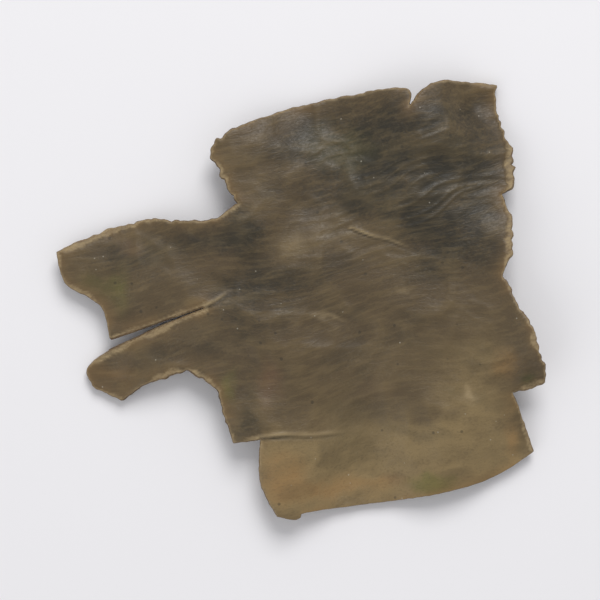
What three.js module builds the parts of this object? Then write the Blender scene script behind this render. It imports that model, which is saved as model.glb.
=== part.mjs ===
// A flake of dried kombu: one piece torn from a broad, thin seaweed blade, leathery, gently arched and waved.
// Millimetres, +Z up. It lies on three low spots, and the origin is under the middle of its box.
import * as THREE from 'three';
import { ConvexHull } from 'three/addons/math/ConvexHull.js';

// Driving dimensions
const marginThickness = 0.64;     // along the cut edge
const middleThickness = 0.8;      // along the top edge, nearer the middle of the blade it was torn from
const thickeningHalfWidth = 13;   // across the grain, from the crown of the arch
const grainAngle = THREE.MathUtils.degToRad(12);  // the blade's length against the flake's X axis
const archMiddle = 1.5;           // where the arch across the grain has its crown
const archHalfWidth = 15.5;
const archHeight = 1.4;
const lowerWave = { height: 0.62, length: 12.2, crest: -3.0 };
const upperWave = { height: 0.62, length: 14, crest: -2.7 };
const rippleHeight = 0.22;
const tongueSpread = 0.35;        // how far each of the two tongues beside the tear is sprung from the other
const tongueDroop = 1.15;         // how far both hang down together
const sideRoll = 0.019;           // how sharply the right side rolls up in its middle and down at its corners
const clearance = 0.2;            // between the surface and the rest of the underside, where it is lowest
const easeLength = 3;             // the blade rises from a rest spot to its free form over this length
const edgeSpacing = 0.42;         // between the outline's vertices
const tearSpacing = 0.26;         // the same along the narrow tear
const latticeSpacing = 0.95;      // between the vertices inside the outline

// The tear between the tongues ends here, and a crease runs on from it into the blade
const tearEnd = new THREE.Vector2(-6.2, 1.5);
const creaseAngle = THREE.MathUtils.degToRad(38);
const creaseDepth = 0.3;
const creaseWidth = 1.2;
const creaseLength = 13;

// The outline, walked anticlockwise from the left end of the clean cut edge. Each stretch is a smooth curve
// through its points and starts where the last one ended, in a corner. Fray is how far its torn fibres stray.
const stretches = [
  { edge: 'cut edge', fray: 0.02, points: [[-1.25, -12.7], [-0.1, -12.95], [0.4, -12.75]] },
  { edge: 'cut edge after its nick', fray: 0.02,
    points: [[0.75, -12.45], [4.6, -11.98], [9.2, -11.3], [13.4, -10.15], [16.35, -8.35]] },
  { edge: 'lower right side', fray: 0.06, points: [[15.7, -6.4], [14.85, -4.2]] },
  { edge: 'barb', fray: 0.13, points: [[15.6, -3.95], [16.75, -3.6], [16.9, -2.7], [16.1, 0], [14.9, 2.1]] },
  { edge: 'upper right side', fray: 0.18, points: [[14.2, 4.1], [14.75, 6.6], [14.1, 9.4]] },
  { edge: 'right shoulder', fray: 0.2, points: [[14.9, 10.3], [14.6, 12.9], [13.7, 15.2], [13.9, 16.9]] },
  { edge: 'top edge', fray: 0.07, points: [[11.6, 17.15], [9.2, 16.9], [7.7, 15.3]] },
  { edge: 'top edge after its split', fray: 0.07, points: [[7.5, 16.6], [3.6, 16.15], [-0.6, 15.2], [-3.6, 14.1]] },
  { edge: 'left shoulder', fray: 0.22, points: [[-5.6, 12.9], [-5.2, 10.9], [-3.9, 8.7]] },
  { edge: 'upper tongue', fray: 0.1, points: [[-6.1, 7.5], [-9.7, 7.6], [-12.8, 6.9], [-16.4, 5.4]] },
  { edge: 'bite in the tongue', fray: 0.04, points: [[-15.9, 3.4], [-14.3, 2.4], [-13.2, 1.4], [-12.75, -0.5]] },
  { edge: 'tear, upper lip', fray: 0, tear: true, points: [[-10.6, 0.25], [-8.4, 1.05], [-6.3, 1.75]] },
  { edge: 'tear, end', fray: 0, tear: true, points: [[-6.15, 1.6], [-6.25, 1.42]] },
  { edge: 'tear, lower lip', fray: 0, tear: true, points: [[-8.3, 0.62], [-10.4, -0.3], [-12.85, -1.45]] },
  { edge: 'lower tongue', fray: 0.06, points: [[-14.35, -2.5], [-13.9, -3.8], [-12.0, -4.75]] },
  { edge: 'bay', fray: 0.1, points: [[-10.1, -3.55], [-7.4, -2.75], [-5.5, -3.9], [-4.75, -6.0], [-4.25, -7.65]] },
  { edge: 'step', fray: 0.03, points: [[-2.35, -7.35]] },
  { edge: 'lower left side', fray: 0.06, points: [[-2.5, -9.6], [-2.0, -11.4], [-1.25, -12.7]] },
];

// Where the underside touches the surface: with a small flat in the lower margin, whose corners follow, and with
// the lowest points of the lower tongue and of the top right corner. Flat is how far the flat reaches.
const restSpots = [
  { x: 4.62, y: -10.61, flat: 0.7 },
  { x: -13.2, y: -3.2, flat: 0 },
  { x: 12.9, y: 16.1, flat: 0 },
];
const flatCorners = [[4.9, -11.2], [5.03, -10.06], [3.94, -10.565]];

// How far the fibres stray at a given length along a stretch, in parts of its fray
function strayAt(length) {
  return 0.5 * Math.sin(2.1 * length + 1) + 0.3 * Math.sin(5.3 * length + 2.2) + 0.2 * Math.sin(9.7 * length);
}

// One stretch as points at an even spacing, its last one left to the next stretch
function stretchPoints(stretch, start) {
  const corners = [start, ...stretch.points.map(([x, y]) => new THREE.Vector2(x, y))];
  const curve = new THREE.SplineCurve(corners);
  const length = curve.getLength();
  const steps = Math.max(1, Math.round(length / (stretch.tear ? tearSpacing : edgeSpacing)));
  return Array.from({ length: steps }, (_, i) => {
    const point = curve.getPointAt(i / steps);
    const tangent = curve.getTangentAt(i / steps);
    const fade = Math.sin(Math.PI * i / steps) ** 0.5;
    const stray = stretch.fray * fade * strayAt(length * i / steps);
    return point.add(new THREE.Vector2(tangent.y, -tangent.x).multiplyScalar(stray));
  });
}

function makeOutline() {
  const [x, y] = stretches.at(-1).points.at(-1);
  let start = new THREE.Vector2(x, y);
  return stretches.flatMap((stretch) => {
    const points = stretchPoints(stretch, start);
    start = new THREE.Vector2(...stretch.points.at(-1));
    return points;
  });
}

const outline = makeOutline();

// Whether a point is inside the outline: a ray to the right crosses it an odd number of times
function isInside(x, y) {
  return outline.reduce((inside, a, i) => {
    const b = outline[(i + 1) % outline.length];
    const crosses = (a.y > y) !== (b.y > y) && x < a.x + (b.x - a.x) * (y - a.y) / (b.y - a.y);
    return crosses ? !inside : inside;
  }, false);
}

function edgeDistance(x, y) {
  return Math.min(...outline.map((point) => Math.hypot(point.x - x, point.y - y)));
}

function restDistance(x, y) {
  return Math.min(...restSpots.map((spot) => Math.hypot(spot.x - x, spot.y - y)));
}

// The outline's vertices, those that rest on the surface, then a triangular lattice that keeps clear of them
function makeVertices() {
  const lowPoints = restSpots.filter(({ flat }) => flat === 0).map(({ x, y }) => [x, y]);
  const vertices = [...outline, ...[...flatCorners, ...lowPoints].map(([x, y]) => new THREE.Vector2(x, y))];
  const box = new THREE.Box2().setFromPoints(outline);
  const rowSpacing = latticeSpacing * Math.sqrt(3) / 2;
  for (let row = 0, y = box.min.y; y < box.max.y; row += 1, y += rowSpacing) {
    for (let x = box.min.x + (row % 2) * latticeSpacing / 2; x < box.max.x; x += latticeSpacing) {
      const clear = edgeDistance(x, y) > 0.55 * latticeSpacing && restDistance(x, y) > 1.1 * latticeSpacing;
      if (isInside(x, y) && clear) vertices.push(new THREE.Vector2(x, y));
    }
  }
  return vertices;
}

// Even triangles over the vertices. Lifted onto a bowl, their convex hull has these triangles as its underside.
function makeTriangles(vertices) {
  const lifted = vertices.map(({ x, y }) => new THREE.Vector3(x, y, x * x + y * y));
  const numberOf = new Map(lifted.map((point, i) => [point, i]));
  const triangles = [];
  for (const face of new ConvexHull().setFromPoints(lifted).faces) {
    if (face.normal.z > -1e-6) continue;
    const corners = [face.edge, face.edge.next, face.edge.prev].map((edge) => edge.head().point);
    const x = (corners[0].x + corners[1].x + corners[2].x) / 3;
    const y = (corners[0].y + corners[1].y + corners[2].y) / 3;
    if (isInside(x, y)) triangles.push(corners.map((point) => numberOf.get(point)).reverse());
  }
  return triangles;
}

function alongGrain(x, y) {
  return x * Math.cos(grainAngle) + y * Math.sin(grainAngle);
}

// Across the grain, from the crown of the arch
function acrossGrain(x, y) {
  return y * Math.cos(grainAngle) - x * Math.sin(grainAngle) - archMiddle;
}

// A wave along the grain that grows from nothing to its full height between two distances off the crown
function marginWave(along, offCrown, wave) {
  const growth = THREE.MathUtils.smoothstep(offCrown, 2, 13);
  return wave.height * growth * Math.cos(2 * Math.PI * (along - wave.crest) / wave.length);
}

// The valley that runs on from the tear, bending a little, and fades at both ends
function creaseHeight(x, y) {
  const away = new THREE.Vector2(x, y).sub(tearEnd).rotateAround(new THREE.Vector2(), -creaseAngle);
  const off = (away.y - 0.012 * away.x ** 2) / creaseWidth;
  const fadeIn = THREE.MathUtils.smoothstep(away.x, -1, 3);
  const fadeOut = THREE.MathUtils.smoothstep(creaseLength - away.x, 0, 7);
  return -creaseDepth * Math.exp(-off * off) * fadeIn * fadeOut;
}

// The blade's free form before it is laid down: an arch across the grain, waves that grow towards the margins,
// a low ripple all over, the right side rolled, and the two tongues drooping and sprung apart at the tear
function freeHeight(x, y) {
  const along = alongGrain(x, y);
  const across = acrossGrain(x, y);
  const arch = archHeight * (1 - (across / archHalfWidth) ** 2);
  const waves = marginWave(along, -across, lowerWave) + marginWave(along, across, upperWave);
  const ripple = rippleHeight * Math.sin(0.62 * along + 0.35 * across) * Math.sin(0.5 * across - 0.8);
  const roll = sideRoll * Math.max(0, x - 7.5) ** 2 * Math.cos(0.21 * (y - 1));
  const side = y > 0.4 * (x + 12.8) - 1 ? 1 : -1;
  const tongues = side * tongueSpread * THREE.MathUtils.smoothstep(-x, 5.5, 14)
    - tongueDroop * THREE.MathUtils.smoothstep(-x, 5, 14.5);
  return arch + waves + ripple + roll + tongues + creaseHeight(x, y);
}

// The plane through the free form at the three rest spots, which becomes the surface
function makeRestPlane() {
  const spots = restSpots.map(({ x, y }) => new THREE.Vector3(x, y, freeHeight(x, y)));
  return new THREE.Plane().setFromCoplanarPoints(...spots);
}

const restPlane = makeRestPlane();

function undersideHeight(x, y) {
  const { normal, constant } = restPlane;
  const planeHeight = -(normal.x * x + normal.y * y + constant) / normal.z;
  const ease = restSpots.reduce((product, spot) => {
    return product * THREE.MathUtils.smoothstep(Math.hypot(x - spot.x, y - spot.y) - spot.flat, 0, easeLength);
  }, 1);
  return (Math.max(0, freeHeight(x, y) - planeHeight) + clearance) * ease;
}

function thicknessAt(x, y) {
  const share = THREE.MathUtils.smoothstep(acrossGrain(x, y), -thickeningHalfWidth, thickeningHalfWidth);
  return THREE.MathUtils.lerp(marginThickness, middleThickness, share);
}

// The closed blade: the same triangles on its underside and its upper side, and a wall round the outline
function makeBlade() {
  const vertices = makeVertices();
  const triangles = makeTriangles(vertices);
  const count = vertices.length;
  const centre = new THREE.Box2().setFromPoints(outline).getCenter(new THREE.Vector2());
  const underside = vertices.map(({ x, y }) => [x - centre.x, y - centre.y, undersideHeight(x, y)]);
  const upperSide = vertices.map(({ x, y }, i) => {
    return [x - centre.x, y - centre.y, underside[i][2] + thicknessAt(x, y)];
  });
  const index = triangles.flatMap(([a, b, c]) => [a + count, b + count, c + count, a, c, b]);
  outline.forEach((_, i) => {
    const next = (i + 1) % outline.length;
    index.push(i, next, next + count, i, next + count, i + count);
  });
  const geometry = new THREE.BufferGeometry();
  geometry.setAttribute('position', new THREE.Float32BufferAttribute([...underside, ...upperSide].flat(), 3));
  geometry.setIndex(index);
  geometry.computeVertexNormals();
  return geometry;
}

// Dried blade: dark olive brown, satin and leathery
const driedBlade = new THREE.MeshStandardMaterial({ color: 0x62553f, roughness: 0.6, metalness: 0 });

const flake = new THREE.Mesh(makeBlade(), driedBlade);
flake.name = 'kombu_flake';

const group = new THREE.Group();
group.add(flake);

export default group;
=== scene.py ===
"""A flake of dried kombu: one torn piece of thin, leathery seaweed blade, arched, waved and wrinkled.

Laid out as an add-on. Run as a script it registers its classes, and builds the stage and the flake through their
operators. Shapes are worked out in millimetres and put into meshes in metres.
"""

import bpy
import numpy as np
from bpy.props import FloatProperty, FloatVectorProperty, IntProperty, PointerProperty
from bpy.types import Operator, Panel, PropertyGroup
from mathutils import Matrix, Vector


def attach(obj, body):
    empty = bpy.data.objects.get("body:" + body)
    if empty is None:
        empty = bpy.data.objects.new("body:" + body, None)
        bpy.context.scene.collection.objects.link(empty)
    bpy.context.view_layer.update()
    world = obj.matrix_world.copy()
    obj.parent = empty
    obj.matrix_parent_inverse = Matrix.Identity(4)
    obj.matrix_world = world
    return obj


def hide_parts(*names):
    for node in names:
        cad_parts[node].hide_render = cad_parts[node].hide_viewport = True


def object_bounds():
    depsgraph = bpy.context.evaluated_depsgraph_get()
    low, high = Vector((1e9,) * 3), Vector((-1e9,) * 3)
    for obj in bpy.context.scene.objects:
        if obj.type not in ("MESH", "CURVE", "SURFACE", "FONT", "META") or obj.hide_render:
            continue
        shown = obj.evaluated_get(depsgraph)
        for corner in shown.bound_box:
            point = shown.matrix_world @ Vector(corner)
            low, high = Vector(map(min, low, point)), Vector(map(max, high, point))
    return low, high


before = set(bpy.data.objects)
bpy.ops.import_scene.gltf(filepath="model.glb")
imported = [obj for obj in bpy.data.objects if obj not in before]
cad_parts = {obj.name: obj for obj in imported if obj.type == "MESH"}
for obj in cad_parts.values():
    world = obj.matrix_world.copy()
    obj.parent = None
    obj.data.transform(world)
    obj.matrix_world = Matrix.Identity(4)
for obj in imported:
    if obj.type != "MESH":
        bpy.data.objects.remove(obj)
CAD_BOUNDS = [list(corner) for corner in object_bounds()]

bl_info = {
    "name": "Dried kombu flake",
    "version": (1, 0, 0),
    "blender": (4, 5, 0),
    "location": "View3D > Sidebar > Kombu",
    "description": "Builds a torn flake of dried kombu and the pale studio it lies in",
    "category": "Object",
}

MM = 0.001
NODE = "kombu_flake"

# Spacing of the outline's points in millimetres, rows of vertices between the two faces at the rim,
# rounds in which the sheet's nodes are evened out, and points along a crack
OUTLINE_STEP = 0.05
WALL_ROWS = 5
EVENING_ROUNDS = 10
CRACK_POINTS = 90

# The outline in millimetres, walked anticlockwise from the left end of the clean cut edge. Each stretch
# is a smooth curve through its points and starts where the last one ended. The numbers are how far its
# torn fibres stray, and the least and greatest width of a strip beside it where the upper skin has come
# off.
STRETCHES = [
    ("cut edge", 0.02, (0, 0), [(-1.25, -12.7), (-0.1, -12.95), (0.4, -12.75)]),
    ("cut edge after its nick", 0.02, (0, 0),
     [(0.75, -12.45), (4.6, -11.98), (9.2, -11.3), (13.4, -10.15), (16.35, -8.35)]),
    ("lower right side", 0.06, (0.04, 0.2), [(15.7, -6.4), (14.85, -4.2)]),
    ("barb", 0.13, (0.06, 0.3), [(15.6, -3.95), (16.75, -3.6), (16.9, -2.7), (16.1, 0), (14.9, 2.1)]),
    ("upper right side", 0.18, (0.06, 0.36), [(14.2, 4.1), (14.75, 6.6), (14.1, 9.4)]),
    ("right shoulder", 0.2, (0.06, 0.4), [(14.9, 10.3), (14.6, 12.9), (13.7, 15.2), (13.9, 16.9)]),
    ("top edge", 0.07, (0.03, 0.12), [(11.6, 17.15), (9.2, 16.9), (7.7, 15.3)]),
    ("top edge after its split", 0.07, (0.03, 0.12), [(7.5, 16.6), (3.6, 16.15), (-0.6, 15.2), (-3.6, 14.1)]),
    ("left shoulder", 0.22, (0.06, 0.36), [(-5.6, 12.9), (-5.2, 10.9), (-3.9, 8.7)]),
    ("upper tongue", 0.1, (0.08, 0.35), [(-6.1, 7.5), (-9.7, 7.6), (-12.8, 6.9), (-16.4, 5.4)]),
    ("bite in the tongue", 0.04, (0.06, 0.2), [(-15.9, 3.4), (-14.3, 2.4), (-13.2, 1.4), (-12.75, -0.5)]),
    ("tear, upper lip", 0, (0.1, 0.2), [(-10.6, 0.25), (-8.4, 1.05), (-6.3, 1.75)]),
    ("tear, end", 0, (0.16, 0.24), [(-6.15, 1.6), (-6.25, 1.42)]),
    ("tear, lower lip", 0, (0.16, 0.34), [(-8.3, 0.62), (-10.4, -0.3), (-12.85, -1.45)]),
    ("lower tongue", 0.06, (0.06, 0.3), [(-14.35, -2.5), (-13.9, -3.8), (-12.0, -4.75)]),
    ("bay", 0.1, (0.08, 0.4), [(-10.1, -3.55), (-7.4, -2.75), (-5.5, -3.9), (-4.75, -6.0), (-4.25, -7.65)]),
    ("step", 0.03, (0.08, 0.25), [(-2.35, -7.35)]),
    ("lower left side", 0.06, (0.03, 0.12), [(-2.5, -9.6), (-2.0, -11.4), (-1.25, -12.7)]),
]

# Spots where the underside touches the surface, in the outline's own millimetres, each with the reach of
# its flat, and the length over which the blade rises from them to its free form
REST_SPOTS = [(4.62, -10.61, 0.7), (-13.2, -3.2, 0), (12.9, 16.1, 0)]
EASE_LENGTH = 3

# The arch: where its crown lies across the grain, and half its width, in millimetres
CROWN = 1.5
ARCH_HALF_WIDTH = 15.5

# The waves of both margins: their shift along the grain and their length, and how far from the crown they
# start and reach their full height
LOWER_WAVES = (3.0, 12.2)
UPPER_WAVES = (2.7, 14)
WAVES_START = 2
WAVES_FULL = 13

# The height of the low ripple, and for the rolled right side where it starts and how fast it bends up
RIPPLE_HEIGHT = 0.22
ROLL_START = 7.5
ROLL_RATE = 0.019

# The tear between the tongues: its inner end, a point at its mouth and its slope
TEAR_END = (-6.2, 1.5)
TEAR_MOUTH = (-12.8, -1)
TEAR_SLOPE = 0.4

# Cracks in the skin: the points they run through, their depth and half width, and how proud their upper lip
# is, all in millimetres
CRACKS = [
    ([(-2.4, -7.4), (-0.6, -7.25), (1.2, -7.3), (3.4, -7.1)], 0.12, 0.11, 0.075),
    ([(3.8, 6.95), (5.2, 6.4), (6.3, 6.15), (7.7, 5.6)], 0.09, 0.07, 0.08),
    ([(-6.2, 1.55), (-5.4, 1.95), (-4.6, 2.5)], 0.08, 0.1, 0.03),
]

# Soft patches: centre, half sizes along X and Y, and strength. The first five are colours, the others say where
# the blade is scuffed to its paler inside and where it is wrinkled. The broad first dusk patch over the top and
# the broad first tan one along the bottom make the blade darker towards the top and lighter towards the bottom:
# partly its own tone, partly painted shade over the top and painted light shining through the blade at the
# bottom.
PATCHES = {
    "tan": [(6.0, -10.2, 12.0, 3.6, 1.0), (12.5, -4.0, 3.2, 6.0, 0.58), (0.0, 6.1, 1.6, 1.4, 0.6),
            (-8.0, 2.3, 2.5, 0.9, 0.3), (5.0, -4.0, 7.0, 3.0, 0.22), (-1.0, -10.5, 3.0, 3.0, 0.5),
            (10.4, -8.8, 4.4, 2.3, 0.62), (-1.0, -8.8, 2.4, 1.6, 0.3)],
    "dusk": [(7.5, 12.5, 9.5, 5.0, 1.0), (-4.0, 7.0, 2.0, 1.4, 0.8), (-12.5, 5.5, 1.8, 1.2, 0.5),
             (11.0, 6.5, 4.5, 3.4, 0.66), (-3.4, 1.6, 2.4, 2.2, 0.55), (-3.2, -6.6, 1.1, 1.0, 0.9),
             (16.0, -3.2, 0.7, 0.5, 0.9), (12.0, -2.4, 0.5, 1.0, 0.35), (-7.0, 6.3, 4.0, 1.4, 0.5),
             (-8.5, -1.4, 3.5, 1.2, 0.35), (-0.5, 2.8, 4.5, 2.2, 0.45), (7.6, 10.2, 3.5, 3.0, 0.5),
             (-10.5, 4.0, 3.0, 2.0, 0.35)],
    "warm": [(-1.7, -3.3, 0.9, 2.0, 0.8), (7.0, -10.3, 1.6, 0.7, 0.5), (-11.5, 5.9, 1.2, 0.8, 0.5),
             (5.5, -4.0, 2.2, 1.2, 0.35), (-5.5, 4.6, 2.0, 1.0, 0.3)],
    "olive": [(9.1, -10.4, 1.7, 0.7, 1.0), (-12.0, 2.8, 0.9, 1.9, 0.5), (-4.6, -3.9, 0.5, 1.3, 0.7),
              (16.0, -3.2, 0.8, 0.8, 0.6), (-13.6, 3.3, 1.5, 1.0, 0.4), (3.0, 12.5, 3.2, 1.8, 0.35)],
    "amber": [(-1.0, -9.9, 1.6, 1.7, 1.0), (2.6, -10.9, 2.4, 0.9, 0.75), (6.0, -10.6, 1.8, 0.8, 0.5),
              (14.8, -7.3, 0.7, 1.6, 0.8), (14.4, -2.4, 1.0, 1.2, 0.75), (-12.6, -2.9, 1.8, 1.0, 0.45)],
    "scuff": [(11.9, -4.3, 0.42, 0.3, 1.6), (2.2, 0.85, 0.9, 0.16, 0.7), (7.4, 3.1, 0.6, 0.14, 0.5)],
    "wrinkled": [(8.0, 10.5, 9.0, 5.0, 1.0), (-2.5, 4.5, 3.5, 2.5, 0.7), (-3.2, -6.2, 1.6, 1.8, 0.8),
                 (13.2, -2.0, 2.2, 3.0, 0.6), (-12.0, 4.6, 3.5, 2.0, 0.5)],
}


class BladeShape(PropertyGroup):
    """Sizes of the flake."""

    margin_thickness: FloatProperty(
        name="Margin thickness", description="Thickness of the blade at the cut edge",
        default=0.64 * MM, unit="LENGTH")
    middle_thickness: FloatProperty(
        name="Middle thickness", description="Thickness of the blade at the top edge",
        default=0.8 * MM, unit="LENGTH")
    grain_angle: FloatProperty(
        name="Grain angle", description="Turn of the blade's length from X",
        default=np.radians(12), unit="ROTATION")
    arch_height: FloatProperty(
        name="Arch", description="Rise of the arch across the grain", default=1.4 * MM, unit="LENGTH")
    lower_wave: FloatProperty(
        name="Lower wave", description="Height of the waves at the cut edge",
        default=0.62 * MM, unit="LENGTH")
    upper_wave: FloatProperty(
        name="Upper wave", description="Height of the waves at the top edge",
        default=0.62 * MM, unit="LENGTH")
    tongue_spread: FloatProperty(
        name="Tongue spread", description="How far each tongue is sprung away",
        default=0.35 * MM, unit="LENGTH")
    tongue_droop: FloatProperty(
        name="Tongue droop", description="How far both tongues hang down",
        default=1.15 * MM, unit="LENGTH")
    clearance: FloatProperty(
        name="Clearance", description="Least gap under the blade away from its rest spots",
        default=0.2 * MM, unit="LENGTH")
    crease_depth: FloatProperty(
        name="Crease", description="Depth of the crease beyond the tear",
        default=0.3 * MM, unit="LENGTH")
    wrinkle_height: FloatProperty(
        name="Wrinkles", description="Height of the fine folds along the grain",
        default=0.09 * MM, unit="LENGTH")
    cell: FloatProperty(
        name="Mesh spacing", description="Distance between the mesh's vertices",
        default=0.125 * MM, unit="LENGTH")
    seed: IntProperty(name="Seed", description="Choice of the random wrinkles", default=7)


class BladeFinish(PropertyGroup):
    """Colours and gloss of the flake."""

    blade: FloatVectorProperty(
        name="Blade", description="Main olive brown", subtype="COLOR", default=(0.088, 0.0625, 0.034))
    dusk: FloatVectorProperty(
        name="Dusk", description="Darker, greyer parts", subtype="COLOR", default=(0.03, 0.026, 0.018))
    tan: FloatVectorProperty(
        name="Tan", description="Lighter parts", subtype="COLOR", default=(0.262, 0.188, 0.088))
    warm: FloatVectorProperty(
        name="Warm", description="Reddish brown patches", subtype="COLOR", default=(0.14, 0.082, 0.045))
    # Amber is a real orange brown in its patches; round the rim the skin also uses it as painted light shining
    # through the thin margins
    amber: FloatVectorProperty(
        name="Amber", description="Thin, orange brown margins", subtype="COLOR", default=(0.28, 0.165, 0.065))
    olive: FloatVectorProperty(
        name="Olive", description="Green patches", subtype="COLOR", default=(0.125, 0.118, 0.034))
    bloom: FloatVectorProperty(
        name="Bloom", description="Dried salt on the skin", subtype="COLOR", default=(0.48, 0.44, 0.36))
    flesh: FloatVectorProperty(
        name="Flesh", description="Paler inside at cracks, scuffs and torn edges",
        subtype="COLOR", default=(0.34, 0.255, 0.14))
    roughness: FloatProperty(
        name="Roughness", description="Mean roughness of the skin",
        default=0.42, min=0, max=1, subtype="FACTOR")


class StudioLook(PropertyGroup):
    """Floor, lights and camera."""

    floor_colour: FloatVectorProperty(
        name="Floor", description="Colour of the floor", subtype="COLOR", default=(0.815, 0.803, 0.815))
    floor_size: FloatProperty(
        name="Floor size", description="Width of the floor", default=4.0, unit="LENGTH")
    key_power: FloatProperty(
        name="Key light", description="Power of the main lamp in watts", default=0.95, min=0)
    fill_power: FloatProperty(
        name="Fill light", description="Power of the opposite lamp in watts", default=0.28, min=0)
    sky_strength: FloatProperty(
        name="Sky", description="Strength of the light from all round", default=0.5, min=0)
    lens: FloatProperty(
        name="Lens", description="Focal length in millimetres", default=150, min=10)
    coverage: FloatProperty(
        name="Coverage", description="Share of the picture's width that the flake takes",
        default=0.82, subtype="FACTOR")


def smooth_step(value, low, high):
    """Eases from 0 at low to 1 at high, level at both ends."""
    t = np.clip((value - low) / (high - low), 0.0, 1.0)
    return t * t * (3.0 - 2.0 * t)


def spline(corners, count):
    """A smooth curve through corners: between two of them, a cubic whose slope at each corner is half the
    way between that corner's neighbours."""
    corners = np.asarray(corners, float)
    spread = np.vstack([corners[:1], corners, corners[-1:]])
    t = np.linspace(0.0, len(corners) - 1.0, count)
    i = np.minimum(t.astype(int), len(corners) - 2)
    w = (t - i)[:, None]
    before, start, end, after = (spread[i + k] for k in range(4))
    slope_in, slope_out = (end - before) / 2, (after - start) / 2
    return ((2 * start - 2 * end + slope_in + slope_out) * w**3
            + (3 * end - 3 * start - 2 * slope_in - slope_out) * w**2 + slope_in * w + start)


def lattice_noise(u, v, seed):
    """Smooth noise from 0 to 1: random heights at whole numbers of u and v, eased between them."""
    table = np.random.default_rng(seed).random((256, 256))
    iu, iv = np.floor(u).astype(int), np.floor(v).astype(int)
    fu, fv = u - iu, v - iv
    fu, fv = (f**3 * (f * (f * 6 - 15) + 10) for f in (fu, fv))
    near, far = table[iu % 256, iv % 256], table[(iu + 1) % 256, iv % 256]
    near_up, far_up = table[iu % 256, (iv + 1) % 256], table[(iu + 1) % 256, (iv + 1) % 256]
    return (near * (1 - fu) + far * fu) * (1 - fv) + (near_up * (1 - fu) + far_up * fu) * fv


def layered_noise(u, v, seed, layers):
    """Several lattice noises added, each twice as fine and half as strong as the last, from 0 to 1."""
    total = sum(lattice_noise(u * 2**k, v * 2**k, seed + 31 * k) / 2**k for k in range(layers))
    return total / (2 - 2.0 ** (1 - layers))


def make_outline(spacing):
    """The closed outline at an even spacing, with the fray and the bare strip's width at each point. Each
    stretch's curve is moved sideways by its fray times a sum of three sines of the length along it, a
    finer noise, and the sharp notches of another that come and go. The strip's width follows a noise
    along the rim."""
    points, frays, strips = [], [], []
    start = STRETCHES[-1][3][-1]
    for number, (_, fray, (least, most), corners) in enumerate(STRETCHES):
        curve = spline([start, *corners], 500)
        length = np.r_[0.0, np.cumsum(np.hypot(*np.diff(curve, axis=0).T))]
        steps = max(1, round(length[-1] / spacing))
        s = np.arange(steps) * length[-1] / steps
        point = np.c_[np.interp(s, length, curve[:, 0]), np.interp(s, length, curve[:, 1])]
        ahead = s + 0.02
        tangent = np.c_[np.interp(ahead, length, curve[:, 0]), np.interp(ahead, length, curve[:, 1])] - point
        tangent /= np.maximum(np.hypot(*tangent.T), 1e-9)[:, None]
        fade = np.sqrt(np.sin(np.pi * np.arange(steps) / steps))
        stray = 0.5 * np.sin(2.1 * s + 1) + 0.3 * np.sin(5.3 * s + 2.2) + 0.2 * np.sin(9.7 * s)
        stray += 1.1 * (layered_noise(s * 1.6, s * 0 + number, 5, 2) - 0.5)
        notches = 0.35 - np.abs(2 * layered_noise(s * 1.7, s * 0 + number, 6, 2) - 1)
        stray += 1.6 * notches * smooth_step(lattice_noise(s * 0.55, s * 0 + 3 * number, 8), 0.35, 0.75)
        points.append(point + np.c_[tangent[:, 1], -tangent[:, 0]] * (fray * fade * stray)[:, None])
        uneven = smooth_step(layered_noise(s * 0.6 + 7 * number, s * 0, 21, 4), 0.42, 0.72)
        frays.append(np.full(steps, fray))
        strips.append(least + (most - least) * uneven)
        start = corners[-1]
    return np.concatenate(points), np.concatenate(frays), np.concatenate(strips)


def inside(outline, xs, ys):
    """Which nodes of the grid of xs and ys are inside the outline: those with an odd number of its edges on
    their left."""
    start, end = outline, np.roll(outline, -1, axis=0)
    rows = ys[:, None]
    crosses = (start[:, 1] > rows) != (end[:, 1] > rows)
    rise = np.where(start[:, 1] == end[:, 1], 1.0, end[:, 1] - start[:, 1])
    where = start[:, 0] + (end[:, 0] - start[:, 0]) * (rows - start[:, 1]) / rise
    where = np.sort(np.where(crosses, where, np.inf), axis=1)[:, : crosses.sum(axis=1).max()]
    return (where[:, :, None] < xs).sum(axis=1) % 2 == 1


def nearest(points, targets):
    """The number of the closest target to each point, and its distance, worked out for 1024 points at a
    time."""
    number = np.empty(len(points), int)
    distance = np.empty(len(points))
    for first in range(0, len(points), 1024):
        block = slice(first, first + 1024)
        gaps = (points[block, None, 0] - targets[:, 0]) ** 2 + (points[block, None, 1] - targets[:, 1]) ** 2
        number[block] = gaps.argmin(axis=1)
        distance[block] = np.sqrt(gaps.min(axis=1))
    return number, distance


def fill_pinches(kept):
    """Keeps one more cell wherever two kept cells would touch only at a corner."""
    while True:
        a, b, c, d = kept[:-1, :-1], kept[:-1, 1:], kept[1:, :-1], kept[1:, 1:]
        falling, rising = a & d & ~b & ~c, b & c & ~a & ~d
        if not (falling.any() or rising.any()):
            return kept
        kept[:-1, 1:] |= falling
        kept[:-1, :-1] |= rising


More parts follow.
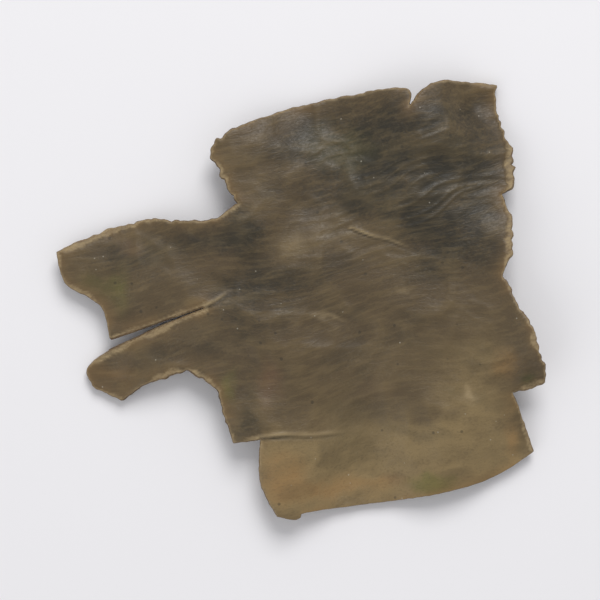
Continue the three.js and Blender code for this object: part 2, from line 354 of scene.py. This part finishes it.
def trimmed_sheet(outline, cell):
    """A flat sheet of triangles with the outline's shape: the cells of a square grid whose middles are
    inside it, their border nodes moved onto the outline and the nodes behind them evened out."""
    low, high = outline.min(axis=0) - 2 * cell, outline.max(axis=0) + 2 * cell
    xs, ys = np.arange(low[0], high[0], cell), np.arange(low[1], high[1], cell)
    kept = fill_pinches(inside(outline, (xs[1:] + xs[:-1]) / 2, (ys[1:] + ys[:-1]) / 2))
    ring = np.pad(kept, 1)
    corners = np.stack([ring[:-1, :-1], ring[:-1, 1:], ring[1:, :-1], ring[1:, 1:]])
    used, border = corners.any(axis=0), corners.any(axis=0) & ~corners.all(axis=0)
    place = np.stack(np.meshgrid(xs, ys), axis=-1)
    number, _ = nearest(place[border], outline)
    place[border] = outline[number]
    free = used & ~border
    for _ in range(EVENING_ROUNDS):
        even = sum(np.roll(place, step, axis) for axis in (0, 1) for step in (1, -1)) / 4
        place[free] = even[free]
    index = np.full(used.shape, -1)
    index[used] = np.arange(used.sum())
    row, column = np.nonzero(kept)
    quads = np.c_[index[row, column], index[row, column + 1],
                  index[row + 1, column + 1], index[row + 1, column]]
    return merge_doubles(place[used], split_quads(place[used], quads))


def merge_doubles(place, triangles):
    """Nodes that fell on the same point made one, and the triangles that this flattens left out."""
    _, kept, number = np.unique(np.round(place, 5), axis=0, return_index=True, return_inverse=True)
    triangles = number.ravel()[triangles]
    whole = (triangles != np.roll(triangles, 1, axis=1)).all(axis=1)
    return place[kept], triangles[whole]


def split_quads(place, quads):
    """Two triangles for each quad, cut along the diagonal that leaves the fuller ones."""
    def smaller_half(a, b, c, d):
        halves = (quads[:, [a, b, c]], quads[:, [a, c, d]])
        return np.minimum(*(triangle_area(place, half) for half in halves))

    first = smaller_half(0, 1, 2, 3) >= smaller_half(1, 2, 3, 0)
    return np.concatenate([quads[first][:, [0, 1, 2]], quads[first][:, [0, 2, 3]],
                           quads[~first][:, [1, 2, 3]], quads[~first][:, [1, 3, 0]]])


def triangle_area(place, triangles):
    """Signed area of triangles in the plane."""
    a, b, c = (place[triangles[:, k]] for k in range(3))
    return ((b[:, 0] - a[:, 0]) * (c[:, 1] - a[:, 1]) - (b[:, 1] - a[:, 1]) * (c[:, 0] - a[:, 0])) / 2


def border_edges(triangles, count):
    """The directed edges of triangles that no neighbour shares."""
    edges = np.concatenate([triangles[:, [0, 1]], triangles[:, [1, 2]], triangles[:, [2, 0]]])
    forward, back = edges[:, 0] * count + edges[:, 1], edges[:, 1] * count + edges[:, 0]
    return edges[~np.isin(forward, back)]


def grain(x, y, shape):
    """Distances along the grain from the outline's own zero, and across it from the arch's crown."""
    along = x * np.cos(shape.grain_angle) + y * np.sin(shape.grain_angle)
    return along, y * np.cos(shape.grain_angle) - x * np.sin(shape.grain_angle) - CROWN


def crease(x, y, depth):
    """A valley with a bell-shaped section that runs on from the tear's end, bends a little and fades at its
    ends. Its length is u, and v is how far off its middle line a point lies."""
    angle = np.radians(38)
    right, up = x - TEAR_END[0], y - TEAR_END[1]
    u = right * np.cos(angle) + up * np.sin(angle)
    v = up * np.cos(angle) - right * np.sin(angle) - 0.012 * u**2
    return -depth * np.exp(-((v / 1.2) ** 2)) * smooth_step(u, -1, 3) * smooth_step(13 - u, 0, 7)


def margin_waves(along, outwards, height, waves):
    """Cosine waves along the grain, growing from the crown outwards to a margin."""
    shift, length = waves
    growth = smooth_step(outwards, WAVES_START, WAVES_FULL)
    return height / MM * growth * np.cos(2 * np.pi * (along + shift) / length)


def free_height(x, y, shape):
    """The blade before it is laid down: a parabola across the grain, cosine waves along it that grow
    towards both margins, a low ripple, the right side rolled, and the tongues drooping and sprung apart
    at the tear."""
    along, across = grain(x, y, shape)
    arch = shape.arch_height / MM * (1 - (across / ARCH_HALF_WIDTH) ** 2)
    lower = margin_waves(along, -across, shape.lower_wave, LOWER_WAVES)
    upper = margin_waves(along, across, shape.upper_wave, UPPER_WAVES)
    ripple = RIPPLE_HEIGHT * np.sin(0.62 * along + 0.35 * across) * np.sin(0.5 * across - 0.8)
    roll = ROLL_RATE * np.maximum(0, x - ROLL_START) ** 2 * np.cos(0.21 * (y - 1))
    side = np.where(y > TEAR_SLOPE * (x - TEAR_MOUTH[0]) + TEAR_MOUTH[1], 1.0, -1.0)
    tongues = (side * shape.tongue_spread / MM * smooth_step(-x, 5.5, 14)
               - shape.tongue_droop / MM * smooth_step(-x, 5, 14.5))
    return arch + lower + upper + ripple + roll + tongues + crease(x, y, shape.crease_depth / MM)


def ease_from_rest(x, y):
    """0 on each rest spot, rising to 1 over the ease length beyond its flat."""
    rises = [smooth_step(np.hypot(x - px, y - py) - flat, 0, EASE_LENGTH) for px, py, flat in REST_SPOTS]
    return np.prod(rises, axis=0)


def underside_height(x, y, shape):
    """The free height above the plane through its three rest spots, what would lie below that plane
    rounded off onto it, raised by the clearance and eased down to the surface at the spots."""
    spots = np.array(REST_SPOTS)[:, :2]
    levels = free_height(spots[:, 0], spots[:, 1], shape)
    slope_x, slope_y, level = np.linalg.solve(np.c_[spots, np.ones(3)], levels)
    above = free_height(x, y, shape) - (slope_x * x + slope_y * y + level)
    return ((above + np.sqrt(above**2 + 0.01)) / 2 + shape.clearance / MM) * ease_from_rest(x, y)


def wrinkles(x, y, shape, seed):
    """Fine folds along the grain, from 0 to 1: the ridge lines of a noise drawn out along the grain and
    bent by a broader one, stronger in some patches than in others."""
    along, across = grain(x, y, shape)
    bend = layered_noise(along / 7 + 40, across / 5 + 40, seed + 1, 2) - 0.5
    fine = layered_noise(along / 4.6 + 2 * bend + 90, across / 0.85 + 5 * bend + 90, seed, 2)
    patch = smooth_step(layered_noise(along / 8 + 60, across / 5 + 60, seed + 2, 2), 0.42, 0.62)
    return (1 - np.abs(2 * fine - 1)) ** 5 * (0.25 + 0.75 * patch)


def puckers(x, y, shape, seed):
    """Shallow hollows and swellings a few millimetres wide, from -0.5 to 0.5."""
    along, across = grain(x, y, shape)
    return layered_noise(along / 3.6 + 20, across / 2.1 + 20, seed + 3, 3) - 0.5


def crumple(x, y, seed):
    """Low creases in all directions, from 0 to 1: the ridge lines of two broad noises."""
    first = 1 - np.abs(2 * layered_noise(x / 4.4 + 30, y / 3.6 + 30, seed + 4, 3) - 1)
    second = 1 - np.abs(2 * layered_noise(x / 2.4 + 70, y / 2.8 + 70, seed + 5, 2) - 1)
    return 0.65 * first**3 + 0.35 * second**3


def crack_marks(x, y):
    """The depth of the cracks at each point, the height of their lips, and both as masks from 0 to 1."""
    depth, lip, crack_mask, lip_mask = (np.zeros_like(x) for _ in range(4))
    for corners, deepest, half_width, proud in CRACKS:
        curve = spline(corners, CRACK_POINTS)
        number, gap = nearest(np.c_[x, y], curve)
        tangent = np.gradient(curve, axis=0)[number]
        side = np.sign(tangent[:, 0] * (y - curve[number, 1]) - tangent[:, 1] * (x - curve[number, 0]))
        fade = np.sqrt(1 - number / (CRACK_POINTS - 1))
        fade *= 0.7 + 0.6 * lattice_noise(number / 9, number * 0, 3)
        groove = np.exp(-((gap / half_width) ** 2)) * fade
        ledge = np.exp(-(((gap * side - 1.9 * half_width) / (1.2 * half_width)) ** 2)) * fade
        depth, lip = depth + deepest * groove, lip + proud * ledge
        crack_mask, lip_mask = np.maximum(crack_mask, groove), np.maximum(lip_mask, ledge)
    return depth, lip, crack_mask, lip_mask


def patches(x, y, spots):
    """Soft round patches that add up, from 0 to 1, their borders bent by a noise."""
    bent_x = x + 1.6 * (layered_noise(x / 1.8 + 50, y / 1.8 + 50, 33, 4) - 0.5)
    bent_y = y + 1.6 * (layered_noise(x / 1.8 + 90, y / 1.8 + 90, 34, 4) - 0.5)
    total = sum(strength * np.exp(-((bent_x - px) / wide) ** 2 - ((bent_y - py) / high) ** 2)
                for px, py, wide, high, strength in spots)
    return np.clip(total, 0, 1)


def thickness(x, y, shape):
    """The blade thickens across the grain, from the cut edge to the top edge."""
    _, across = grain(x, y, shape)
    return (shape.margin_thickness + ((shape.middle_thickness - shape.margin_thickness)
                                      * smooth_step(across, -13, 13))) / MM


def bare_strip(x, y, edge_gap, width):
    """Where the upper skin has come off beside a torn edge: 1 there, 0 beyond the strip's ragged border."""
    ragged = width + 0.3 * width * (layered_noise(x / 0.35, y / 0.35, 23, 2) - 0.5)
    return smooth_step(ragged - edge_gap, -0.06, 0.06)


def blade_surfaces(place, edge_gap, strip, bare, shape):
    """Heights of both faces over the sheet's nodes, and the relief of each. The underside is the laid
    down form, and the upper face is a thickness above it. Both carry folds and creases. The upper face is
    lower where its skin has come off, and the underside rises towards the edge, most towards a torn
    one."""
    x, y = place.T
    under = underside_height(x, y, shape)
    depth, lip, _, _ = crack_marks(x, y)
    fold = shape.wrinkle_height / MM * (0.22 + 0.78 * patches(x, y, PATCHES["wrinkled"]))
    rough = layered_noise(x / 0.3, y / 0.3, 29, 2) - 0.5
    relief = fold * wrinkles(x, y, shape, shape.seed) + 0.12 * puckers(x, y, shape, shape.seed) + lip - depth
    relief += 0.16 * (crumple(x, y, shape.seed) - 0.35)
    below = fold * wrinkles(x, y, shape, shape.seed + 50) + 0.16 * puckers(x, y, shape, shape.seed + 50)
    below += 0.14 * (crumple(x, y, shape.seed + 50) - 0.35)
    thinning = np.exp(-((edge_gap / 1.1) ** 2)) * (0.16 + 0.22 * smooth_step(strip, 0, 0.2))
    upper = under + thickness(x, y, shape) + relief - bare * (0.08 - 0.06 * rough)
    lower = np.maximum(0, under + (thinning - 0.6 * below) * ease_from_rest(x, y))
    return upper, lower, relief, below


def edge_wall(foot, head, outwards, level, run, fray, proud):
    """Rows of vertices round the rim, at levels from 0 at the upper face's border to 1 at the lower
    one's: on the straight line between the two, bulging outwards by a sine of the level and roughened by
    a noise over the run of the rim."""
    rough = layered_noise(run * 2.2, level * 3 + run * 0, 11, 3) - 0.35
    bulge = (0.03 + proud + fray * rough) * np.sin(np.pi * level) ** 0.5
    wall = head + (foot - head) * level[:, :, None]
    wall[:, :, :2] += outwards * bulge[:, :, None]
    return wall.reshape(-1, 3)


def torn_wall(level, run):
    """How much of the paler inside shows on a torn wall, from 0 to 1: most half way down, less beside the
    two skins, and broken up by a noise over the run of the rim."""
    crumbs = layered_noise(run * 1.7, level * 3.5, 17, 2)
    return np.clip((1 - np.abs(2 * level - 1) ** 3) * (0.45 + 0.9 * crumbs), 0, 1)


def wall_quads(edges, border, count):
    """The wall's faces: a ladder from the upper face's border edges through the wall's rows to the lower
    one's."""
    place_of = np.full(count, -1)
    place_of[border] = np.arange(len(border))
    rows = [2 * count + row * len(border) + place_of[edges] for row in range(WALL_ROWS)]
    rungs = [edges, *rows, edges + count]
    return np.concatenate([np.c_[down[:, 0], down[:, 1], up[:, 1], up[:, 0]]
                           for up, down in zip(rungs[:-1], rungs[1:])])


def outward_directions(outline, number):
    """Flat unit vectors that point out of the outline, at its points of the given numbers."""
    tangent = (np.roll(outline, -4, axis=0) - np.roll(outline, 4, axis=0))[number]
    return np.c_[tangent[:, 1], -tangent[:, 0]] / np.maximum(np.hypot(*tangent.T), 1e-9)[:, None]


def set_attribute(mesh, name, values):
    """Stores one number for each vertex under a name that materials can read."""
    mesh.attributes.new(name, "FLOAT", "POINT").data.foreach_set("value", np.asarray(values, np.float32))


def build_blade(shape):
    """The whole flake as one closed mesh: upper face, underside and the wall between them, with the masks
    that its materials read. Where skin has come off, the torn wall slopes outwards as it goes down. In
    the tear, where the outline has no fray, its fibres stand proud instead."""
    outline, frays, strips = make_outline(OUTLINE_STEP)
    place, triangles = trimmed_sheet(outline, shape.cell / MM)
    number, edge_gap = nearest(place, outline)
    bare = bare_strip(*place.T, edge_gap, strips[number]) * (strips[number] > 0)
    upper, lower, relief, relief_below = blade_surfaces(place, edge_gap, strips[number], bare, shape)
    count = len(place)
    edges = border_edges(triangles, count)
    border = np.unique(edges)
    rim = number[border]
    outwards = outward_directions(outline, rim)
    head, foot = np.c_[place, upper], np.c_[place, lower]
    foot[border, :2] += outwards * 0.3 * strips[rim, None]
    fray = 0.14 * smooth_step(frays[rim], 0.02, 0.1)
    proud = 0.1 * (frays[rim] == 0)
    run = rim * OUTLINE_STEP
    level = np.arange(1, WALL_ROWS + 1)[:, None] / (WALL_ROWS + 1)
    wall = edge_wall(foot[border], head[border], outwards, level, run, fray, proud)
    walls = wall_quads(edges, border, count)
    middle = (outline.min(axis=0) + outline.max(axis=0)) / 2
    points = np.concatenate([head, foot, wall])
    faces = [*triangles.tolist(), *(triangles[:, ::-1] + count).tolist(), *walls.tolist()]
    mesh = bpy.data.meshes.new(NODE)
    mesh.from_pydata((points - [*middle, 0]) * MM, [], faces)
    mesh.polygons.foreach_set("use_smooth", np.ones(len(faces), bool))
    on_wall = np.r_[np.zeros(2 * len(triangles), int), np.ones(len(walls), int)]
    mesh.polygons.foreach_set("material_index", on_wall.astype(np.int32))
    torn = torn_wall(level, run) * smooth_step(strips[rim], 0.02, 0.2)
    peeled = smooth_step(0.14 - edge_gap, 0, 0.1) * smooth_step(strips[number], 0.02, 0.2)
    none = np.zeros(len(wall))
    store_masks(mesh, points, np.r_[edge_gap, edge_gap, none], np.r_[relief, relief_below, none],
                np.r_[bare, peeled, torn.ravel()], np.r_[np.ones(count), np.zeros(count), none])
    mark_corners(mesh, np.r_[border, border + count])
    mesh.update()
    return mesh


def mark_corners(mesh, corners):
    """Marks as sharp the edges whose two ends are both among the given vertices."""
    ends = np.empty(2 * len(mesh.edges), np.int32)
    mesh.edges.foreach_get("vertices", ends)
    sharp = np.isin(ends, corners).reshape(-1, 2).all(axis=1)
    mesh.attributes.new("sharp_edge", "BOOLEAN", "EDGE").data.foreach_set("value", sharp)


def store_masks(mesh, points, edge_gap, relief, torn, on_top):
    """Masks for the materials: how near the rim a point is, the relief, the patches and, on the upper
    face alone, the cracks, their lips and the scuffs."""
    x, y = points[:, 0], points[:, 1]
    _, _, crack_mask, lip_mask = crack_marks(x, y)
    # The rim mask carries the painted glow of light through the thin margins, the crack mask painted shade in
    # the grooves, and the relief mask painted light on the ridges
    set_attribute(mesh, "rim", np.exp(-edge_gap / 0.5))
    set_attribute(mesh, "crack", crack_mask * on_top)
    set_attribute(mesh, "lip", lip_mask * on_top)
    set_attribute(mesh, "scuff", patches(x, y, PATCHES["scuff"]) * on_top)
    set_attribute(mesh, "torn", torn)
    set_attribute(mesh, "relief", np.clip(relief / 0.2 + 0.5, 0, 1))
    for name in ("tan", "dusk", "warm", "olive", "amber"):
        set_attribute(mesh, name, patches(x, y, PATCHES[name]))


def new_group(name, inputs, outputs):
    """An empty shader node group with float, vector and colour sockets, and its two end nodes."""
    group = bpy.data.node_groups.new(name, "ShaderNodeTree")
    kinds = {"value": "NodeSocketFloat", "vector": "NodeSocketVector", "colour": "NodeSocketColor"}
    for direction, sockets in (("INPUT", inputs), ("OUTPUT", outputs)):
        for socket_name, kind in sockets:
            group.interface.new_socket(name=socket_name, in_out=direction, socket_type=kinds[kind])
    return group, group.nodes.new("NodeGroupInput").outputs, group.nodes.new("NodeGroupOutput").inputs


def node(tree, kind, settings=None, **values):
    """A node with its settings, and with its inputs set or linked by name."""
    made = tree.nodes.new(kind)
    for key, value in (settings or {}).items():
        setattr(made, key, value)
    for key, value in values.items():
        socket = made.inputs[int(key[1:])] if key[0] == "_" else made.inputs[key.replace("_", " ")]
        if isinstance(value, bpy.types.NodeSocket):
            tree.links.new(value, socket)
        else:
            socket.default_value = value
    return made


def maths(tree, operation, a, b=0.5, c=0.5, clamp=False):
    """One step of arithmetic."""
    settings = {"operation": operation, "use_clamp": clamp}
    return node(tree, "ShaderNodeMath", settings, _0=a, _1=b, _2=c).outputs[0]


def blend(tree, amount, a, b, mode="MIX"):
    """Colour a turned towards colour b by an amount."""
    settings = {"data_type": "RGBA", "blend_type": mode, "clamp_factor": True}
    return node(tree, "ShaderNodeMix", settings, _0=amount, _6=a, _7=b).outputs[2]


def ramp(tree, value, low, high, low_out=0.0, high_out=1.0):
    """A value eased from one range to another."""
    settings = {"interpolation_type": "SMOOTHSTEP"}
    return node(tree, "ShaderNodeMapRange", settings, Value=value, From_Min=low, From_Max=high,
                To_Min=low_out, To_Max=high_out).outputs[0]


def grain_group():
    """Noise drawn out along the grain: a broad mottle, fine streaks, pores and thin meandering crinkle
    lines, each from 0 to 1."""
    outputs = [(name, "value") for name in ("Mottle", "Streaks", "Pores", "Crinkle")]
    group, given, result = new_group("Grain", [("Vector", "vector")], outputs)

    def noise(stretch, scale, detail, shift=0.0):
        drawn = node(group, "ShaderNodeMapping", Vector=given["Vector"], Scale=(stretch, 1, 1),
                     Location=(shift, 0, 0)).outputs[0]
        return node(group, "ShaderNodeTexNoise", Vector=drawn, Scale=scale, Detail=detail).outputs[0]

    marks = {"Mottle": (0.6, 0.4, 5.0), "Streaks": (0.14, 3.2, 4.0), "Pores": (0.6, 7.5, 3.0)}
    for name, (stretch, scale, detail) in marks.items():
        group.links.new(ramp(group, noise(stretch, scale, detail), 0.3, 0.7), result[name])
    lines = [maths(group, "ABSOLUTE", maths(group, "SUBTRACT", noise(0.3, scale, 2.0, shift), 0.5))
             for scale, shift in ((1.1, 5.0), (2.3, 11.0))]
    closest = maths(group, "MINIMUM", lines[0], maths(group, "MULTIPLY", lines[1], 1.4))
    group.links.new(ramp(group, closest, 0.0, 0.045, 1.0, 0.0), result["Crinkle"])
    return group


def speck_group():
    """Masks from 0 to 1 for tiny specks scattered in the skin: dark ones, and finer, fewer pale ones."""
    group, given, result = new_group("Specks", [("Vector", "vector")], [("Dark", "value"), ("Pale", "value")])
    for name, scale, size, share in (("Dark", 0.9, 0.13, 0.45), ("Pale", 1.5, 0.1, 0.2)):
        cells = node(group, "ShaderNodeTexVoronoi", Vector=given["Vector"], Scale=scale)
        near = ramp(group, cells.outputs["Distance"], 0.5 * size, size, 1.0, 0.0)
        pick = node(group, "ShaderNodeSeparateColor", Color=cells.outputs["Color"]).outputs[0]
        chosen = maths(group, "LESS_THAN", pick, share)
        group.links.new(maths(group, "MULTIPLY", near, chosen), result[name])
    return group


def bloom_group():
    """Dried salt: a powder mask that gathers in broad patches and is broken up finely."""
    inputs = [("Vector", "vector"), ("Amount", "value")]
    group, given, result = new_group("Salt bloom", inputs, [("Mask", "value")])
    broad = node(group, "ShaderNodeTexNoise", Vector=given["Vector"], Scale=0.28, Detail=3.0)
    fine = node(group, "ShaderNodeTexNoise", Vector=given["Vector"], Scale=5.5, Detail=6.0, Roughness=0.7)
    patch = ramp(group, broad.outputs[0], 0.45, 0.72)
    powder = ramp(group, fine.outputs[0], 0.45, 0.75)
    mask = maths(group, "MULTIPLY", maths(group, "MULTIPLY", patch, powder), given["Amount"], clamp=True)
    group.links.new(mask, result["Mask"])
    return group


def grain_space(tree, shape):
    """Object coordinates in millimetres, turned so that X runs along the grain and bent gently across it
    by a broad noise."""
    place = node(tree, "ShaderNodeTexCoord").outputs["Object"]
    turned = node(tree, "ShaderNodeMapping", {"vector_type": "TEXTURE"}, Vector=place,
                  Rotation=(0, 0, shape.grain_angle), Scale=(MM, MM, MM)).outputs[0]
    broad = node(tree, "ShaderNodeTexNoise", Vector=turned, Scale=0.1, Detail=0.0).outputs["Color"]
    settings = {"operation": "MULTIPLY_ADD"}
    return node(tree, "ShaderNodeVectorMath", settings, _0=broad, _1=(0, 3, 0), _2=turned).outputs[0]


def attribute(tree, name):
    """A mask stored on the mesh."""
    return node(tree, "ShaderNodeAttribute", {"attribute_name": name}).outputs["Fac"]


def placed(tree, group, **values):
    """A node group in a material, with its values."""
    made = node(tree, "ShaderNodeGroup", {"node_tree": group})
    for key, value in values.items():
        if isinstance(value, bpy.types.NodeSocket):
            tree.links.new(value, made.inputs[key])
        else:
            made.inputs[key].default_value = value
    return made.outputs


def opaque(colour):
    """A colour property with its alpha."""
    return (*colour, 1.0)


def skin_material(shape, finish, grain_nodes, bloom_nodes, speck_nodes):
    """The blade's skin: olive brown mottled along the grain, with its patches of other colours, pale where it is
    bared, scuffed or raised beside a crack, with specks, a trace of salt bloom, a satin gloss and a fine
    crinkled bump. It also carries painted light and shade: the broad patches in part darken the top and lighten
    the bottom, the thin rim glows orange brown as if lit through, the ridges of the relief are lighter and the
    cracks are darker."""
    material = bpy.data.materials.new("kombu_skin")
    material.use_nodes = True
    tree = material.node_tree
    tree.nodes.clear()
    vector = grain_space(tree, shape)
    noise = placed(tree, grain_nodes, Vector=vector)
    mottle, streaks, pores, crinkle = (noise[name] for name in ("Mottle", "Streaks", "Pores", "Crinkle"))
    specks = placed(tree, speck_nodes, Vector=vector)
    uneven = maths(tree, "MULTIPLY_ADD", mottle, 0.75, maths(tree, "MULTIPLY_ADD", pores, 0.3, 0.45))
    colour = opaque(finish.blade)
    # Patch colours; the broad dusk and tan patches also paint the top darker and the bottom lighter, partly as
    # painted shade and painted light shining through the blade
    for name, strength in (("tan", 0.8), ("dusk", 1.0), ("warm", 0.7), ("olive", 0.75), ("amber", 0.8)):
        share = maths(tree, "MULTIPLY", attribute(tree, name), uneven)
        share = ramp(tree, share, 0.06, 1.0, 0.0, strength)
        colour = blend(tree, share, colour, opaque(getattr(finish, name)))
    colour = blend(tree, ramp(tree, mottle, 0.5, 1.0, 0.0, 0.3), colour, opaque(finish.dusk))
    colour = blend(tree, ramp(tree, streaks, 0.4, 1.0, 0.0, 0.12), colour, opaque(finish.tan))
    colour = blend(tree, ramp(tree, pores, 0.6, 1.0, 0.0, 0.18), colour, opaque(finish.dusk))
    # Raised parts of the relief lightened towards tan: painted light on the ridges
    raised = ramp(tree, attribute(tree, "relief"), 0.5, 1.0, 0.0, 0.12)
    colour = blend(tree, raised, colour, opaque(finish.tan))
    colour = blend(tree, maths(tree, "MULTIPLY", crinkle, 0.05), colour, opaque(finish.tan))
    # Orange brown towards the rim: painted light shining through the thin margins
    rim = maths(tree, "MULTIPLY", attribute(tree, "rim"), ramp(tree, mottle, 0.2, 0.8, 0.05, 0.4))
    colour = blend(tree, rim, colour, opaque(finish.amber))
    colour = blend(tree, maths(tree, "MULTIPLY", specks["Dark"], 0.5), colour, opaque(finish.dusk))
    fibres = maths(tree, "MULTIPLY_ADD", streaks, 0.45, maths(tree, "MULTIPLY_ADD", pores, 0.35, 0.12))
    torn = maths(tree, "MULTIPLY", attribute(tree, "torn"), fibres)
    for share in (torn, maths(tree, "MULTIPLY", attribute(tree, "lip"), 0.8),
                  maths(tree, "MULTIPLY", attribute(tree, "scuff"), 0.55)):
        colour = blend(tree, share, colour, opaque(finish.flesh))
    # Crack grooves darkened towards dusk: painted shade in the cracks
    colour = blend(tree, maths(tree, "MULTIPLY", attribute(tree, "crack"), 0.65), colour, opaque(finish.dusk))
    bloom = placed(tree, bloom_nodes, Vector=vector, Amount=0.06)["Mask"]
    powder = maths(tree, "MAXIMUM", bloom, maths(tree, "MULTIPLY", specks["Pale"], 0.4))
    colour = blend(tree, powder, colour, opaque(finish.bloom))
    gloss = maths(tree, "MULTIPLY_ADD", pores, 0.16, finish.roughness - 0.08)
    gloss = maths(tree, "MULTIPLY_ADD", maths(tree, "MAXIMUM", powder, torn), 0.35, gloss, clamp=True)
    height = maths(tree, "MULTIPLY_ADD", streaks, 0.16, maths(tree, "MULTIPLY", pores, -0.12))
    height = maths(tree, "MULTIPLY_ADD", crinkle, 0.14, height)
    height = maths(tree, "MULTIPLY_ADD", powder, 0.4, height)
    normal = node(tree, "ShaderNodeBump", Strength=0.6, Distance=0.05 * MM, Height=height).outputs[0]
    shader = node(tree, "ShaderNodeBsdfPrincipled", Base_Color=colour, Roughness=gloss, Normal=normal)
    shader.inputs["Specular IOR Level"].default_value = 0.25
    node(tree, "ShaderNodeOutputMaterial", Surface=shader.outputs[0])
    return material


def edge_material(shape, finish, grain_nodes):
    """The edge all round: dark and smooth where it is cut, and paler and fibrous where it is torn."""
    material = bpy.data.materials.new("kombu_edge")
    material.use_nodes = True
    tree = material.node_tree
    tree.nodes.clear()
    noise = placed(tree, grain_nodes, Vector=grain_space(tree, shape))
    pale = ramp(tree, noise["Pores"], 0.0, 0.8, 0.35, 1.0)
    fibres = blend(tree, pale, opaque(finish.warm), opaque(finish.flesh))
    cut = blend(tree, maths(tree, "MULTIPLY", noise["Mottle"], 0.6), opaque(finish.warm), opaque(finish.dusk))
    torn = maths(tree, "MULTIPLY", attribute(tree, "torn"), ramp(tree, noise["Mottle"], 0.1, 0.8, 0.6, 1.0))
    colour = blend(tree, torn, cut, fibres)
    normal = node(tree, "ShaderNodeBump", Strength=0.6, Distance=0.06 * MM, Height=noise["Pores"]).outputs[0]
    shader = node(tree, "ShaderNodeBsdfPrincipled", Base_Color=colour, Roughness=0.72, Normal=normal)
    shader.inputs["Specular IOR Level"].default_value = 0.25
    node(tree, "ShaderNodeOutputMaterial", Surface=shader.outputs[0])
    return material


def plain_material(name, colour, roughness):
    """A plain matt finish for the floor."""
    material = bpy.data.materials.new(name)
    material.use_nodes = True
    shader = material.node_tree.nodes["Principled BSDF"]
    shader.inputs["Base Color"].default_value = opaque(colour)
    shader.inputs["Roughness"].default_value = roughness
    return material


def link(name, data):
    """A new object in the scene, at the origin."""
    made = bpy.data.objects.new(name, data)
    bpy.context.scene.collection.objects.link(made)
    return made


def area_light(name, place, aim, size, power):
    """A square soft lamp at a place, facing a point."""
    data = bpy.data.lights.new(name, "AREA")
    data.size, data.energy = size, power
    lamp = link(name, data)
    lamp.location = place
    away = lamp.location - type(lamp.location)(aim)
    lamp.rotation_euler = away.to_track_quat("Z", "Y").to_euler()
    return lamp


class KOMBU_OT_stage(Operator):
    """Lay the pale floor, hang the soft lamps and set the camera straight above the flake."""

    bl_idname = "kombu.stage"
    bl_label = "Build stage"

    def execute(self, context):
        look = context.scene.kombu_studio
        half = look.floor_size / 2
        corners = [(-half, -half, 0), (half, -half, 0), (half, half, 0), (-half, half, 0)]
        floor = bpy.data.meshes.new("floor")
        floor.from_pydata(corners, [], [(0, 1, 2, 3)])
        floor.materials.append(plain_material("floor_matt", look.floor_colour, 0.9))
        link("floor", floor)
        area_light("key", (0.05, 0.25, 0.27), (0, 0, 0), 0.2, look.key_power)
        area_light("fill", (-0.24, -0.2, 0.26), (0, 0, 0), 0.3, look.fill_power)
        world = bpy.data.worlds.new("sky")
        world.use_nodes = True
        sky = world.node_tree.nodes["Background"].inputs
        sky["Color"].default_value = (0.96, 0.97, 1.0, 1.0)
        sky["Strength"].default_value = look.sky_strength
        context.scene.world = world
        data = bpy.data.cameras.new("camera")
        data.lens, data.sensor_width = look.lens, 36
        low, high = CAD_BOUNDS
        width = (high[0] - low[0]) / look.coverage
        distance = width * data.lens / data.sensor_width + high[2]
        data.clip_start, data.clip_end = 0.1 * distance, 10 + distance
        camera = link("camera", data)
        camera.location = (0, 0, distance)
        context.scene.camera = camera
        context.scene.view_settings.view_transform = "Standard"
        return {"FINISHED"}


class KOMBU_OT_blade(Operator):
    """Build the flake over the solid that it stands for, with its skin and edge finishes."""

    bl_idname = "kombu.blade"
    bl_label = "Build flake"

    def execute(self, context):
        shape, finish = context.scene.kombu_shape, context.scene.kombu_finish
        grain_nodes = grain_group()
        mesh = build_blade(shape)
        mesh.materials.append(skin_material(shape, finish, grain_nodes, bloom_group(), speck_group()))
        mesh.materials.append(edge_material(shape, finish, grain_nodes))
        if mesh.validate():
            raise RuntimeError("the flake's mesh had to be repaired")
        flake = link("flake_blade", mesh)
        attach(flake, "root")
        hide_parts(NODE)
        return {"FINISHED"}


class KOMBU_PT_panel(Panel):
    """Buttons and settings in the sidebar."""

    bl_label = "Dried kombu flake"
    bl_idname = "KOMBU_PT_panel"
    bl_space_type = "VIEW_3D"
    bl_region_type = "UI"
    bl_category = "Kombu"

    def draw(self, context):
        for group, operator in (("kombu_studio", "kombu.stage"), ("kombu_shape", "kombu.blade"),
                                ("kombu_finish", None)):
            settings = getattr(context.scene, group)
            for name in settings.__annotations__:
                self.layout.prop(settings, name)
            if operator:
                self.layout.operator(operator)


CLASSES = (BladeShape, BladeFinish, StudioLook, KOMBU_OT_stage, KOMBU_OT_blade, KOMBU_PT_panel)


def register():
    for cls in CLASSES:
        bpy.utils.register_class(cls)
    bpy.types.Scene.kombu_shape = PointerProperty(type=BladeShape)
    bpy.types.Scene.kombu_finish = PointerProperty(type=BladeFinish)
    bpy.types.Scene.kombu_studio = PointerProperty(type=StudioLook)


def unregister():
    del bpy.types.Scene.kombu_studio, bpy.types.Scene.kombu_finish, bpy.types.Scene.kombu_shape
    for cls in reversed(CLASSES):
        bpy.utils.unregister_class(cls)


def main():
    """Builds everything through the operators."""
    register()
    bpy.ops.kombu.stage()
    bpy.ops.kombu.blade()


if __name__ == "__main__":
    main()
